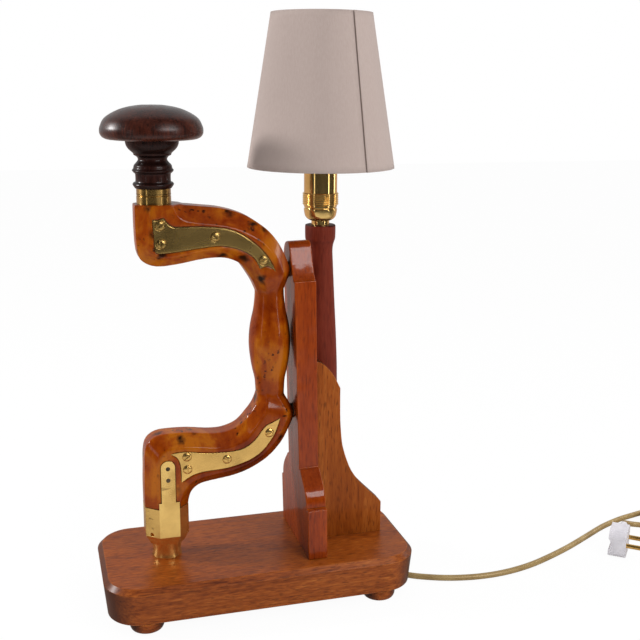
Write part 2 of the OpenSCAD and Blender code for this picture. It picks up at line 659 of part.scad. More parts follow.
module holder_insulator() color("ivory") {
    at_lamp() difference() {
        translate([0, 0, insulator_z]) cylinder(h = bulb_z - insulator_z - 1, r = barrel_r - 2 - fit);
        translate([0, 0, insulator_z + 7]) cylinder(h = 40, r = 7.6 + fit);
        translate([0, 0, insulator_z - 1]) cylinder(h = 20, r = 1.5 + fit);
        for (x = [-1, 1]) translate([x * 6, 0, insulator_z - 1]) cylinder(h = 6, r = 1.6);
    }
}
module screw_shell() color("gold") {
    at_lamp() translate([0, 0, insulator_z + 7]) ring(7.6, 7.1, bulb_z - insulator_z - 7);
}
module contact() color("gold") {
    at_lamp() {
        translate([0, 0, insulator_z - 2]) cylinder(h = 10, r = 1.5);
        translate([0, 0, insulator_z + 7.3]) cylinder(h = 1.2, r = 4);
    }
}
module bulb_cap() color("silver") {
    at_lamp() {
        translate([0, 0, insulator_z + 8.7]) cylinder(h = 2.2, r = 2.4);
        translate([0, 0, insulator_z + 10.5]) cylinder(h = bulb_z - insulator_z - 10.5, r = 7.05);
    }
}
bulb_r = bulb_d / 2;
bulb_profile = [[6.8, 0], [7.2, 4], [8.4, 9], [10.2, 14], [12.4, 19], [bulb_r - 2.2, 26], [bulb_r - 0.5, 33],
    [bulb_r, 39], [bulb_r - 0.9, 48], [bulb_r - 3.9, 60], [9.4, 71], [4.8, 80], [1.8, 84.4], [0.6, 85.2]];
module bulb_glass() color("white") {
    at_lamp() translate([0, 0, bulb_z + 0.1]) difference() {
        turned(bulb_profile, 3);
        turned(concat([[5.8, -1]], [for (p = bulb_profile) if (p[0] > 4) [p[0] - 0.9, p[1]]],
            [[0.5, 83]]), 3);
    }
}

// Rings that clamp the shade's carrier, and the shade itself
module shade_ring_lower() color("gold") {
    at_lamp() translate([0, 0, carrier_z - 3.2]) ring(barrel_r + 4, barrel_r + fit, 3.1);
}
module shade_ring_upper() color("gold") {
    at_lamp() translate([0, 0, carrier_z + 1.6]) ring(barrel_r + 4, barrel_r + fit, 3.2);
}
wire_r = 1.2;
function shade_r(z) = shade_bottom_d / 2 + (shade_top_d - shade_bottom_d) / 2 * (z - shade_z) / shade_h;
function wire_at(z) = shade_r(z) - shade_wall - wire_r - 0.4;
module wire_ring(z) {
    translate([0, 0, z]) rotate_extrude() translate([wire_at(z), 0]) circle(r = wire_r, $fn = 24);
}
module shade_carrier() color("white") {
    z = shade_z + 1.5;
    hub = barrel_r + 5;
    spoke = [wire_at(z) - hub, z - carrier_z - 0.7];
    at_lamp() {
        translate([0, 0, carrier_z]) ring(hub + 1.5, barrel_r + run, 1.5);
        wire_ring(z);
        for (a = [60, 180, 300]) rotate(a) translate([hub, 0, carrier_z + 0.7])
            rotate([0, 90 - atan2(spoke[1], spoke[0]), 0]) cylinder(h = norm(spoke), r = 1.1, $fn = 24);
    }
}
module shade_top_ring() color("white") { at_lamp() wire_ring(shade_top_z - 1.5); }
module shade_cover() color("lightgray") {
    rb = shade_bottom_d / 2;
    rt = shade_top_d / 2;
    at_lamp() {
        rotate_extrude($fn = 96) polygon([[rb - shade_wall, shade_z], [rb, shade_z], [rt, shade_top_z],
            [rt - shade_wall, shade_top_z]]);
        rotate(seam_at - 90) rotate_extrude(angle = 9) polygon([[rb - 0.3, shade_z], [rb + 0.35, shade_z],
            [rt + 0.35, shade_top_z], [rt - 0.3, shade_top_z]]);
    }
}

// Flex inside the post and under the board, as far as the clip's outer end
run_dir = unit(clip_end - [lamp_x, lamp_y]);
run_l = norm(clip_end - [lamp_x, lamp_y]);
module along_run() { rotate(atan2(run_dir[1], run_dir[0])) children(); }
module clip_frame() { at_lamp() along_run() translate([run_l - 5, 0, 0]) children(); }
module flex() color("darkkhaki") {
    at_lamp() {
        translate([0, 0, run_z + bend_r]) cylinder(h = cap_z + 4 - run_z - bend_r, r = cord_r);
        along_run() {
            translate([bend_r, 0, run_z]) rotate([0, 90, 0]) cylinder(h = run_l - bend_r, r = cord_r);
            translate([bend_r, 0, run_z + bend_r]) rotate([90, 0, 0]) rotate(180)
                rotate_extrude(angle = 90) translate([bend_r, 0]) circle(r = cord_r, $fn = 32);
        }
    }
}
module cord_clip() color("black") {
    clip_frame() difference() {
        translate([-5, -8, 0.8]) cube([10, 16, foot_h - 0.8]);
        translate([-6, 0, run_z]) rotate([0, 90, 0]) cylinder(h = 12, r = cord_r + fit);
        for (y = [-1, 1]) translate([0, y * clip_pin_y, -1]) cylinder(h = 20, r = 0.9 + fit);
        for (y = [-1, 1]) translate([-6, y * 8 - 3.4, 0]) cube([12, 6.8, 4.5]);
    }
}
module clip_pins() color("silver") {
    clip_frame() for (y = [-1, 1]) translate([0, y * clip_pin_y, 4]) {
        cylinder(h = foot_h + 3.5, r = 0.9);
        cylinder(h = 0.5, r = 1.5);
    }
}

// Coil: in towards the middle on the table, up a layer where it turns back, and out again
function coil_dir(a) = [sin(a), -cos(a), 0];
function coil_r(t) = coil_out_r - coil_step * (coil_turns / 2 - abs(t - coil_turns / 2));
function coil_z(t) = coil_low_z + coil_rise * min(1, max(0, (t - coil_turns / 2) * 2 + 0.5));
function coil_at(t) = let (a = coil_from - 360 * t)
    [coil_mid[0] + coil_r(t) * cos(a), coil_mid[1] + coil_r(t) * sin(a), coil_z(t)];
coil_steps = round(coil_turns * loop_rings);
coil_loops = [for (i = [0 : coil_steps]) coil_at(i * coil_turns / coil_steps)];
coil_start = coil_at(0) - cord_d * coil_dir(coil_from);
coil_end = coil_at(coil_turns) + cord_d * coil_dir(coil_to);
coil_gap = min([for (i = [0 : coil_steps - loop_rings / 2]) for (j = [i + loop_rings / 2 : coil_steps])
    norm(coil_loops[i] - coil_loops[j])]) - cord_d;
echo(coil_gap = coil_gap);

plug_dir = [-sin(plug_turn), cos(plug_turn), 0];
plug_entry = [plug_at[0], plug_at[1], entry_z] + (plug_size[1] / 2 + relief_l) * plug_dir;

// Each stretch of cord is smooth between straight ends that are one diameter long
cord_exit = [clip_end[0], clip_end[1], run_z];
lead_dir = [run_dir[0], run_dir[1], 0];
lead_path = straight_ends(cord_exit, lead_dir, cord_points, -coil_dir(coil_from), coil_start);
tail_path = straight_ends(coil_end, coil_dir(coil_to), tail_points, plug_dir, plug_entry);
function straight_ends(a, a_dir, points, b_dir, b) =
    concat([a], smooth(concat([a + cord_d * a_dir], points, [b + cord_d * b_dir]), 2), [b]);
module cord() color("darkkhaki") { home() tube(lead_path, cord_r, 8); }
module cord_coil() color("darkkhaki") {
    home() tube(concat([coil_start], coil_loops, [coil_end]), cord_r, 6);
}
module cord_tail() color("darkkhaki") { home() tube(tail_path, cord_r, 8); }
module coil_tie() color("black") {
    low = coil_out_r - coil_step * coil_turns / 2 - cord_r - 1.4;
    high = coil_out_r + cord_r + 0.4;
    tall = coil_low_z + coil_rise + cord_r + 0.3;
    under = coil_low_z - cord_r - 0.2;
    home() translate([coil_mid[0], coil_mid[1] - 3, 0]) difference() {
        translate([low - 1, 0, 0]) cube([high - low + 2, 6, tall + 1]);
        translate([low, -1, under]) cube([high - low, 8, tall - under]);
    }
}

// Flat two-pin plug on its edge, with a tapered strain relief at its side and a finger groove at its back
pin_gap = 19;
pin_r = 2;
module plug_frame() { home() translate([plug_at[0], plug_at[1], 0]) rotate(plug_turn) children(); }
module plug_outline() {
    r = 7;
    w = plug_size[1] / 2;
    h = plug_size[2];
    for (y = [-1, 1]) for (z = [r, h - r]) translate([y * (w - r), z]) circle(r = r);
    translate([-w, r]) square([2 * w, h - 2 * r]);
    translate([r - w, 0]) square([2 * w - 2 * r, h]);
}
module plug() color("white") {
    t = plug_size[0];
    w = plug_size[1];
    plug_frame() difference() {
        union() {
            translate([-t / 2, 0, 0]) rotate([90, 0, 90]) linear_extrude(t) plug_outline();
            translate([0, w / 2 - 1, entry_z]) rotate([-90, 0, 0])
                cylinder(h = relief_l + 1, r1 = 5.6, r2 = 3.4);
        }
        translate([-t / 2 - 7, -w, entry_z]) rotate([-90, 0, 0]) cylinder(h = 2 * w, r = 9);
        for (y = [-1, 1]) translate([0, y * pin_gap / 2, entry_z]) rotate([0, 90, 0])
            cylinder(h = 20, r = pin_r + fit);
    }
}
module plug_pins() color("gold") {
    for (y = [-1, 1]) plug_frame() translate([0.3, y * pin_gap / 2, entry_z]) rotate([0, 90, 0]) {
        cylinder(h = plug_size[0] / 2 + 17, r = pin_r);
        translate([0, 0, plug_size[0] / 2 + 16.9]) cylinder(h = 1.8, r1 = pin_r, r2 = 0.9);
    }
}

board();
feet();
foot_screws();
upright();
bracket();
bracket_dowels();
base_screws();
brace_screws();
packing_discs();
post();
stock();
chuck();
chuck_peg();
strap_rivets();
upper_plate_front();
upper_plate_back();
lower_plate_front();
lower_plate_back();
upper_plate_screws();
lower_plate_screws();
stock_collar();
spindle();
head_cap();
head_neck();
head_ferrule();
head_plug();
nipple();
nipple_nut();
holder_cap();
holder_ring();
holder_barrel();
holder_insulator();
screw_shell();
contact();
bulb_cap();
bulb_glass();
shade_ring_lower();
shade_ring_upper();
shade_carrier();
shade_top_ring();
shade_cover();
flex();
cord_clip();
clip_pins();
cord();
cord_coil();
coil_tie();
cord_tail();
plug();
plug_pins();
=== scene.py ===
import json
import math

import bmesh
import bpy
from mathutils import Matrix, Vector

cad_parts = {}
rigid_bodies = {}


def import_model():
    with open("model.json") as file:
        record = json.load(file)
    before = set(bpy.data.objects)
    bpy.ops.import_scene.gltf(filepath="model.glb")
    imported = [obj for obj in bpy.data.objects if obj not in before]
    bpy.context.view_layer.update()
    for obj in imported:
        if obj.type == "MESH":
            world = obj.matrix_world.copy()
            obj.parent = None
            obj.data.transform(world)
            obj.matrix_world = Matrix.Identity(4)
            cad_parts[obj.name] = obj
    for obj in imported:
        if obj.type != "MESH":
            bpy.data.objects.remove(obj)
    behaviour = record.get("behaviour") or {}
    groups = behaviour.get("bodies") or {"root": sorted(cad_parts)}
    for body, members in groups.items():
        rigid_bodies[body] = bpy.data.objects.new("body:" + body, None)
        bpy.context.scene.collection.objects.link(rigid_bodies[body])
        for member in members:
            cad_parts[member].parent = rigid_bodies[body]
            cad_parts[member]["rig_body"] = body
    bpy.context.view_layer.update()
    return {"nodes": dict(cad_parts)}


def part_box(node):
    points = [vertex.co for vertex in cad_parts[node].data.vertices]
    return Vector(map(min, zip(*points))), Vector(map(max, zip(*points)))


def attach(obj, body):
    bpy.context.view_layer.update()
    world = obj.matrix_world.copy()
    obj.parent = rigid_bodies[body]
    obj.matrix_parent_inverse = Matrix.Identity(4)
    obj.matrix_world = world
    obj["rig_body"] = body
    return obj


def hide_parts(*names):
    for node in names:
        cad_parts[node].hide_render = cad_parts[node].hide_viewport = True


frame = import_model()
NODES = frame["nodes"]
MM = 0.001
UP = Vector((0, 0, 1))
WHITE = (1.0, 1.0, 1.0, 1.0)


def middle_of(node):
    """Middle of a node's box, in millimetres."""
    low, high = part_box(node)
    return (low + high) / (2 * MM)


# Where the board's middle and top lie in the frame, and the lamp's upright axis, in millimetres
Y_MID = middle_of("board").y
BOARD_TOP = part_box("board")[1].z / MM
LAMP_AXIS = middle_of("holder_ring").xy

# Camera, solved from the board, the upright and the shade in the photograph, in millimetres and degrees
CAMERA_OVER_BOARD = 371.85
CAMERA_AT = (-160.82, -741.44 + Y_MID, BOARD_TOP + CAMERA_OVER_BOARD)
CAMERA_YAW = 16.21
CAMERA_PITCH = 13.57
CAMERA_ROLL = 0.43
FOCAL_PIXELS = 996.67
FRAME_PIXELS = 640
SENSOR_WIDTH = 36.0

# Lamps: place and size in metres, and power in watts
LAMP_AIM = Vector((0.0, 0.0, 0.25))
LAMPS = {
    "right": ((0.56, -0.96, 0.9), (0.7, 0.42), 8.0),
    "left": ((-1.16, 0.34, 0.74), (0.22, 0.22), 12.0),
    "left strip": ((-1.0, -0.65, 0.42), (0.08, 0.7), 0.5),
    "right strip": ((0.82, -0.82, 0.42), (0.08, 0.7), 1.0),
    "rim": ((1.2, 0.12, 0.6), (0.1, 0.9), 2.0),
}

# Even light from all round: its strength at the sides and overhead, and the rise over which it changes
EVEN_LIGHT = (0.05, 1.5)
EVEN_RISE = (0.5, 0.98)

# What mirrors see all round: a dark room in front that turns into a pale backdrop behind
ROOM_LEVEL = 0.02
BACKDROP_LEVEL = 0.64
BACKDROP_TURN = (0.05, 0.4)

# Floor: half its width and its drop in metres, its own grey, and the share of plain white in its view
FLOOR_HALF = 4.0
FLOOR_DROP = 0.0005
FLOOR_GREY = (0.86, 0.86, 0.86, 1.0)
FLOOR_WHITE = 0.96

# What mirrors see of the floor, from far in front to behind in metres: shaded and warmer near the object
PAPER_COLOURS = [(-3.2, (0.03, 0.03, 0.03)), (-0.8, (0.16, 0.16, 0.16)), (-0.42, (0.74, 0.74, 0.74)),
                 (-0.22, (0.8, 0.8, 0.8)), (-0.1, (0.6, 0.55, 0.5)), (0.06, (0.14, 0.1, 0.08)),
                 (0.32, (0.62, 0.48, 0.44))]

# In front of the object, what mirrors see of the floor fades into the dark room at both sides
PAPER_FRONT = (0.0, -0.2)
PAPER_SIDE = (0.45, 0.8)

# Cord, in millimetres from the board's middle, as in the part's source
CORD_D = 5.0
CORD_SIDES = 14
CORD_STEPS = 4
CORD_EXIT = (107.0, -10.0, 4.0)
CORD_RUN = [(120, -18.5, 3.3), (131, -25, 2.7), (142, -30.5, 2.7), (155, -35.5, 2.7), (169, -39, 2.7),
            (184, -41, 2.7), (201, -41, 2.7), (219, -38.5, 2.7), (239, -33, 2.7), (261, -24, 2.7),
            (286, -12, 2.7), (313, 3, 2.7), (338, 17, 2.7), (361, 26.5, 2.8), (379, 31, 3.2)]
COIL_MID = (415.0, -2.0)
COIL_OUT_R = 40.0
COIL_STEP = 5.6
COIL_LOW_Z = 3.7
COIL_RISE = 5.6
COIL_FROM = 105.0
COIL_TO = 200.0
COIL_TURNS = 7
STEPS_PER_TURN = 36
TAIL_RUN = [(373, -3.6, 8.2), (369, 2.2, 7.4), (363, 5, 7.6), (356.4, 4.4, 9.6)]
PLUG_AT = (326.0, -29.0, 12.5)
PLUG_TURN = -40.0
PLUG_W = 27.0
RELIEF_L = 20.0

# Shade, in millimetres and degrees: one sheet whose outer end laps over the end that is tucked in
SHADE_LOW, SHADE_HIGH = (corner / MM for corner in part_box("shade_cover"))
SHADE_TALL = SHADE_HIGH.z - SHADE_LOW.z
SHADE_LOW_R = SHADE_HIGH.y - LAMP_AXIS.y
SHADE_TAPER = 19.0
SHADE_HIGH_R = SHADE_LOW_R - SHADE_TAPER
SHADE_SLANT = math.hypot(SHADE_TALL, SHADE_TAPER)
SHADE_THICK = 0.7
SHADE_INSET = SHADE_THICK / 2
SHADE_COLUMNS = 180
SHADE_ROWS = 24
SEAM_AT = -70.0
SEAM_LAP = 9.0
SEAM_RISE = 0.9
TUCK_FROM = 355.0
TUCK_IN = SHADE_THICK / 2

# How fine the threads of the shade's cloth are drawn
CLOTH_THREADS = 420.0

# Meshes, in millimetres and degrees
WELD_GAP = 0.004
FLAT_ANGLE = 0.6
SMOOTH_ANGLE = 30
CHUCK_ANGLE = 15
TUBE_ANGLE = 40
BEVEL_SEGMENTS = 2
WORN_GRAIN = 0.8
WORN_SHARE = 0.5
WORN_ROUNDS = 5


def linear(r, g, b):
    """A colour given as it looks on the screen, from 0 to 255, as the shader wants it."""
    def one(c):
        c /= 255
        return c / 12.92 if c <= 0.04045 else ((c + 0.055) / 1.055) ** 2.4
    return (one(r), one(g), one(b), 1.0)


def times(share, colour):
    """A colour made darker or paler."""
    return (*(share * c for c in colour[:3]), 1.0)


# Small tools for meshes

def along(points, t):
    """One point on a smooth curve through the points."""
    i = min(int(t), len(points) - 2)
    f = t - i
    a, b = points[max(i - 1, 0)], points[i]
    c, d = points[i + 1], points[min(i + 2, len(points) - 1)]
    bend = 2 * a - 5 * b + 4 * c - d
    twist = 3 * b - a - 3 * c + d
    return 0.5 * (2 * b + (c - a) * f + bend * f ** 2 + twist * f ** 3)


def smooth(points, steps):
    """A smooth curve through the points, with some steps between each two."""
    points = [Vector(p) for p in points]
    return [along(points, k / steps) for k in range((len(points) - 1) * steps + 1)]


def placed(name, data):
    """A new object in the scene."""
    thing = bpy.data.objects.new(name, data)
    bpy.context.scene.collection.objects.link(thing)
    return thing


def mesh_object(name, bm, material):
    mesh = bpy.data.meshes.new(name)
    bm.to_mesh(mesh)
    bm.free()
    mesh.materials.append(material)
    return placed(name, mesh)


def new_piece(name, body, bm, material):
    piece = mesh_object(name, bm, material)
    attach(piece, body)
    return piece


def shade_by_angle(piece, degrees):
    for face in piece.data.polygons:
        face.use_smooth = True
    piece.data.set_sharp_from_angle(angle=math.radians(degrees))


def soft_edges(piece, width, degrees):
    bevel = piece.modifiers.new("soft edges", "BEVEL")
    bevel.width = width * MM
    bevel.segments = BEVEL_SEGMENTS
    bevel.limit_method = "ANGLE"
    bevel.angle_limit = math.radians(degrees)
    bevel.use_clamp_overlap = False
    bevel.harden_normals = True


def dressed(node, material, edge=0.0, degrees=SMOOTH_ANGLE):
    """A piece in the shape of a CAD node, with its facets joined and its edges softened."""
    source = NODES[node]
    bm = bmesh.new()
    bm.from_mesh(source.data)
    bmesh.ops.remove_doubles(bm, verts=bm.verts, dist=WELD_GAP * MM)
    bmesh.ops.dissolve_limit(bm, angle_limit=math.radians(FLAT_ANGLE), verts=bm.verts, edges=bm.edges)
    piece = new_piece(node + "_dressed", source["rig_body"], bm, material)
    loaded_normals = piece.data.attributes.get("custom_normal")
    if loaded_normals:
        piece.data.attributes.remove(loaded_normals)
    shade_by_angle(piece, degrees)
    if edge:
        soft_edges(piece, edge, degrees)
    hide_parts(node)
    return piece


def worn(node, material):
    """A piece in the shape of a CAD node, with every edge rubbed round as on an old tool."""
    piece = dressed(node, material)
    remesh = piece.modifiers.new("even mesh", "REMESH")
    remesh.mode = "VOXEL"
    remesh.voxel_size = WORN_GRAIN * MM
    remesh.use_smooth_shade = True
    rub = piece.modifiers.new("rubbed", "SMOOTH")
    rub.factor = WORN_SHARE
    rub.iterations = WORN_ROUNDS


def paint(node, material):
    """Give a CAD node that stays a better material."""
    mesh = NODES[node].data
    mesh.materials.clear()
    mesh.materials.append(material)


# Small tools for materials

# From the open to the full mark: how far a rounded normal turns at an edge, for paler edges with a painted
# highlight, and the sky left in a crack, for the painted shade there
EDGE_TURN = (0.99, 0.93)
CRACK_SKY = (0.95, 0.5)


class Nodes:
    """A node tree, built by short calls."""

    def __init__(self, tree):
        self.tree = tree

    def add(self, kind, **attributes):
        node = self.tree.nodes.new(kind)
        for key, value in attributes.items():
            setattr(node, key, value)
        return node

    def join(self, output, socket):
        self.tree.links.new(output, socket)

    def fill(self, socket, value):
        if isinstance(value, bpy.types.NodeSocket):
            self.join(value, socket)
        else:
            socket.default_value = value

    def noise(self, vector, scale, detail, roughness=0.55, distortion=0.0):
        node = self.add("ShaderNodeTexNoise")
        self.join(vector, node.inputs["Vector"])
        node.inputs["Scale"].default_value = scale
        node.inputs["Detail"].default_value = detail
        node.inputs["Roughness"].default_value = roughness
        node.inputs["Distortion"].default_value = distortion
        return node.outputs["Fac"]

    def span(self, value, low, high, to_low=0.0, to_high=1.0):
        """The value's range from low to high, stretched over another range and held at its ends."""
        node = self.add("ShaderNodeMapRange")
        self.join(value, node.inputs["Value"])
        for name, number in zip(("From Min", "From Max", "To Min", "To Max"), (low, high, to_low, to_high)):
            node.inputs[name].default_value = number
        return node.outputs["Result"]

    def calc(self, operation, a, b=0.0):
        node = self.add("ShaderNodeMath", operation=operation)
        self.fill(node.inputs[0], a)
        self.fill(node.inputs[1], b)
        return node.outputs["Value"]

    def blend(self, *shares):
        """A weighted sum of values, given as pairs of value and weight."""
        total = self.calc("MULTIPLY", *shares[0])
        for value, weight in shares[1:]:
            total = self.calc("ADD", total, self.calc("MULTIPLY", value, weight))
        return total

    def ramp(self, value, stops):
        node = self.add("ShaderNodeValToRGB")
        self.join(value, node.inputs["Fac"])
        elements = node.color_ramp.elements
        while len(elements) < len(stops):
            elements.new(0.5)
        for element, (position, colour) in zip(elements, stops):
            element.position = position
            element.color = colour
        return node.outputs["Color"]

    def mix(self, factor, a, b):
        node = self.add("ShaderNodeMix", data_type="RGBA")
        self.fill(node.inputs["Factor"], factor)
        self.fill(node.inputs["A"], a)
        self.fill(node.inputs["B"], b)
        return node.outputs["Result"]

    def part_of(self, vector, axis):
        node = self.add("ShaderNodeSeparateXYZ")
        self.join(vector, node.inputs["Vector"])
        return node.outputs[axis]


class Shader(Nodes):
    """A material with a principled surface."""

    SOCKETS = {"color": "Base Color", "rough": "Roughness", "metal": "Metallic", "coat": "Coat Weight",
               "coat_rough": "Coat Roughness", "sheen": "Sheen Weight", "sheen_rough": "Sheen Roughness",
               "clear": "Transmission Weight", "ior": "IOR", "specular": "Specular IOR Level",
               "drawn": "Anisotropic", "drawn_turn": "Anisotropic Rotation"}

    def __init__(self, name):
        self.material = bpy.data.materials.new(name)
        self.material.use_nodes = True
        super().__init__(self.material.node_tree)
        self.surface = next(n for n in self.tree.nodes if n.type == "BSDF_PRINCIPLED")
        self.coordinates = self.add("ShaderNodeTexCoord").outputs
        self.place = self.coordinates["Object"]

    def set(self, **values):
        for key, value in values.items():
            self.fill(self.surface.inputs[self.SOCKETS[key]], value)

    def stretched(self, scale=(1.0, 1.0, 1.0), turn=(0, 0, 0), vector=None):
        """The place on the piece, or another vector, scaled and turned by some degrees."""
        node = self.add("ShaderNodeMapping")
        self.join(vector or self.place, node.inputs["Vector"])
        node.inputs["Scale"].default_value = scale
        node.inputs["Rotation"].default_value = [math.radians(a) for a in turn]
        return node.outputs["Vector"]

    def ragged(self, vector, scale, push_mm):
        """The vector pushed about by noise, so that round marks get ragged outlines."""
        noise = self.add("ShaderNodeTexNoise")
        self.join(vector, noise.inputs["Vector"])
        noise.inputs["Scale"].default_value = scale
        node = self.add("ShaderNodeVectorMath", operation="MULTIPLY_ADD")
        self.join(noise.outputs["Color"], node.inputs[0])
        node.inputs[1].default_value = (push_mm * MM,) * 3
        self.join(vector, node.inputs[2])
        return node.outputs["Vector"]

    def spots(self, vector, scale, rim, cover):
        """Round marks that fade over their rim, and show only where the cover does."""
        node = self.add("ShaderNodeTexVoronoi")
        self.join(vector, node.inputs["Vector"])
        node.inputs["Scale"].default_value = scale
        return self.calc("MULTIPLY", self.span(node.outputs["Distance"], *rim), cover)

    def threads(self, vector, turn):
        """Slightly wavy bands across the vector."""
        wave = self.add("ShaderNodeTexWave", wave_type="BANDS", bands_direction="X")
        self.join(self.stretched(turn=(0, 0, turn), vector=vector), wave.inputs["Vector"])
        wave.inputs["Scale"].default_value = CLOTH_THREADS
        wave.inputs["Distortion"].default_value = 1.2
        wave.inputs["Detail"].default_value = 2.0
        return wave.outputs["Fac"]

    def facing(self, axis):
        """How far the surface faces along one of the piece's own axes, either way."""
        return self.calc("ABSOLUTE", self.part_of(self.coordinates["Normal"], axis))

    def round_edges(self, radius_mm):
        """A normal that turns smoothly over sharp edges."""
        node = self.add("ShaderNodeBevel", samples=4)
        node.inputs["Radius"].default_value = radius_mm * MM
        return node.outputs["Normal"]

    def near_edges(self, radius_mm):
        """How near a point lies to an edge, from 0 on a flat to 1."""
        turn = self.add("ShaderNodeVectorMath", operation="DOT_PRODUCT")
        self.join(self.add("ShaderNodeNewGeometry").outputs["Normal"], turn.inputs[0])
        self.join(self.round_edges(radius_mm), turn.inputs[1])
        return self.span(turn.outputs["Value"], *EDGE_TURN)

    def crevice_shade(self, reach_mm, most):
        """How far other surfaces close in, from 0 in the open to the most in a crack: a mask for painted
        shade.
        """
        node = self.add("ShaderNodeAmbientOcclusion", samples=6)
        node.inputs["Distance"].default_value = reach_mm * MM
        return self.span(node.outputs["AO"], *CRACK_SKY, 0.0, most)

    def bump(self, height, distance_mm, strength, normal=None, socket="Normal"):
        node = self.add("ShaderNodeBump")
        if normal:
            self.join(normal, node.inputs["Normal"])
        node.inputs["Strength"].default_value = strength
        node.inputs["Distance"].default_value = distance_mm * MM
        self.join(height, node.inputs["Height"])
        self.join(node.outputs["Normal"], self.surface.inputs[socket])


# Materials

MAHOGANY = [(0.34, linear(86, 34, 6)), (0.46, linear(126, 58, 12)), (0.58, linear(150, 76, 22)),
            (0.72, linear(178, 104, 42))]
UPRIGHT = [(0.34, linear(102, 32, 3)), (0.47, linear(132, 48, 4)), (0.58, linear(146, 58, 6)),
           (0.72, linear(160, 74, 14))]
POST = [(0.34, linear(80, 24, 13)), (0.48, linear(102, 35, 21)), (0.60, linear(112, 42, 26)),
        (0.74, linear(124, 52, 34))]
DARK_WOOD = [(0.34, linear(24, 10, 8)), (0.48, linear(40, 18, 14)), (0.60, linear(52, 25, 19)),
             (0.74, linear(70, 36, 27))]
CAP_WOOD = [(0.34, linear(30, 9, 5)), (0.46, linear(48, 17, 9)), (0.58, linear(68, 27, 15)),
            (0.70, linear(98, 48, 27))]
PALE_WOOD = [(0.34, linear(150, 110, 70)), (0.6, linear(190, 150, 105)), (0.74, linear(205, 168, 122))]
BURL = [(0.37, linear(84, 23, 1)), (0.44, linear(114, 38, 1)), (0.51, linear(136, 56, 2)),
        (0.59, linear(164, 88, 6))]
# Colour of the dark knots and flecks, and of the painted shade in the stock's corners
BURL_MARK_AND_SHADE = linear(40, 15, 3)
BRASS_NICK = linear(96, 64, 30)
STEEL = [(0.35, linear(58, 44, 33)), (0.65, linear(112, 96, 78))]
SHEATH = [(0.3, linear(150, 122, 74)), (0.7, linear(172, 146, 96))]
FROSTED = [(0.3, linear(236, 234, 228)), (0.7, linear(248, 247, 243))]

# How wood's figure and its pores are drawn out along the grain
GRAIN = {"X": (0.07, 1.0, 1.0), "Z": (1.0, 1.0, 0.05)}
PORE = {"X": (0.15, 1.0, 1.0), "Z": (1.0, 1.0, 0.12)}


def wood(name, stops, grain, rough, coat, coat_rough=0.09, specular=0.08, pores=0.5, figure=26.0,
         pore_scale=760.0, flecks=0.35, end_grain=0.9, edge_wear_and_highlight=0.0, swell=0.0):
    """Varnished wood: broad figure, fine fibres and dark pores, all drawn out along the grain."""
    s = Shader(name)
    drawn = s.stretched(GRAIN[grain])
    short = s.stretched(PORE[grain])
    broad = s.noise(drawn, scale=figure, detail=3.0, roughness=0.5, distortion=0.6)
    streak = s.noise(drawn, scale=170.0, detail=4.0, roughness=0.6)
    fibre = s.noise(drawn, scale=900.0, detail=3.0, roughness=0.7)
    fleck = s.noise(short, scale=700.0, detail=2.0, roughness=0.6)
    dash = s.noise(short, scale=pore_scale, detail=1.0, roughness=0.5)
    tone = s.blend((broad, 0.7 - flecks), (streak, 0.3), (fleck, flecks))
    pore = s.span(dash, 0.57, 0.68, 0.0, pores)
    end = s.span(s.facing(grain), 0.25, 0.8, 0.0, end_grain)
    colour = s.mix(s.calc("MAXIMUM", pore, end), s.ramp(tone, stops), times(0.4, stops[0][1]))
    # Edges rubbed paler, which also paints a highlight along them
    if edge_wear_and_highlight:
        rubbed = s.calc("MULTIPLY", s.near_edges(1.2), s.span(streak, 0.35, 0.6, 0.3 * edge_wear_and_highlight, edge_wear_and_highlight))
        colour = s.mix(rubbed, colour, times(1.4, stops[-1][1]))
    s.set(color=colour, rough=s.span(streak, 0.3, 0.7, rough - 0.08, rough + 0.1), specular=specular)
    s.set(coat=coat, coat_rough=coat_rough)
    s.bump(s.calc("SUBTRACT", fibre, pore), 0.1, 0.4)
    if swell:
        s.bump(s.noise(s.place, scale=60.0, detail=1.0), swell, 1.0, socket="Coat Normal")
    return s.material


def burl_wood(name):
    """Old waxed stock: warm orange, clouded, with dark knots and flecks, and painted shade in its corners."""
    s = Shader(name)
    broad = s.noise(s.place, scale=12.0, detail=2.0, roughness=0.5)
    cloud = s.noise(s.place, scale=40.0, detail=5.0, roughness=0.6, distortion=0.8)
    slanting = s.stretched((1.0, 1.0, 0.3), (0, 35, 0))
    streak = s.noise(slanting, scale=120.0, detail=4.0, roughness=0.6, distortion=0.4)
    tone = s.blend((broad, 0.4), (cloud, 0.35), (streak, 0.25))
    torn = s.ragged(s.place, 190.0, 7.0)
    knotty = s.span(s.noise(s.place, scale=21.0, detail=2.0), 0.47, 0.52)
    flecked = s.span(s.noise(s.place, scale=36.0, detail=2.0), 0.53, 0.6)
    knot = s.spots(torn, 58.0, (0.3, 0.12), knotty)
    fleck = s.spots(torn, 230.0, (0.3, 0.16), flecked)
    speck = s.span(s.noise(s.place, scale=420.0, detail=3.0, roughness=0.6), 0.64, 0.72, 0.0, 0.4)
    marks = s.calc("MAXIMUM", s.calc("MAXIMUM", knot, fleck), speck)
    # Painted shade: darker where other surfaces close in, in corners, cracks and round the plates
    dark = s.calc("MAXIMUM", marks, s.crevice_shade(5.0, 0.8))
    s.set(color=s.mix(dark, s.ramp(tone, BURL), BURL_MARK_AND_SHADE))
    s.set(rough=s.span(cloud, 0.3, 0.7, 0.26, 0.4), specular=0.05, coat=0.34, coat_rough=0.11)
    s.bump(s.calc("SUBTRACT", streak, marks), 0.15, 0.4)
    return s.material


